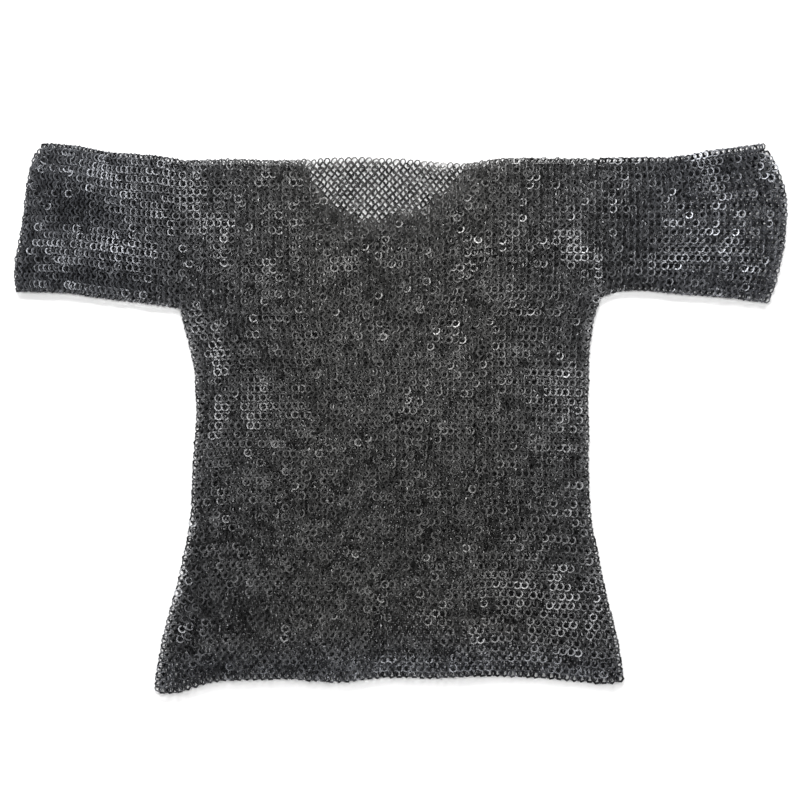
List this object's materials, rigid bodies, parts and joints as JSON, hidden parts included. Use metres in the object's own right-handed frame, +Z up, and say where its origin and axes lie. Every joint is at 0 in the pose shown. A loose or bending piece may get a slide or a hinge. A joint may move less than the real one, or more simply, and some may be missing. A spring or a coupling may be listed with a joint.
{
  "type": "mail haubergeon",
  "caption": "Short-sleeved mail shirt of linked blackened steel rings, laid flat, with a scooped front neck and a flared, open-ringed hem.",
  "frame": {"origin": "on the surface the shirt lies on, under the middle of its plan", "axes": "+X to the wearer's left, +Y towards the neck, +Z up off the surface, front of the shirt upwards"},
  "size_m": [1.1606, 0.821, 0.0176],
  "materials": {
    "steel_mail": "steel wire rings hammered nearly flat, oil-blackened, worn bright where they rub"
  },
  "bodies": {
    "root": {"back": "steel_mail", "front": "steel_mail", "sleeve_right": "steel_mail", "sleeve_left": "steel_mail"}
  },
  "joints": []
}
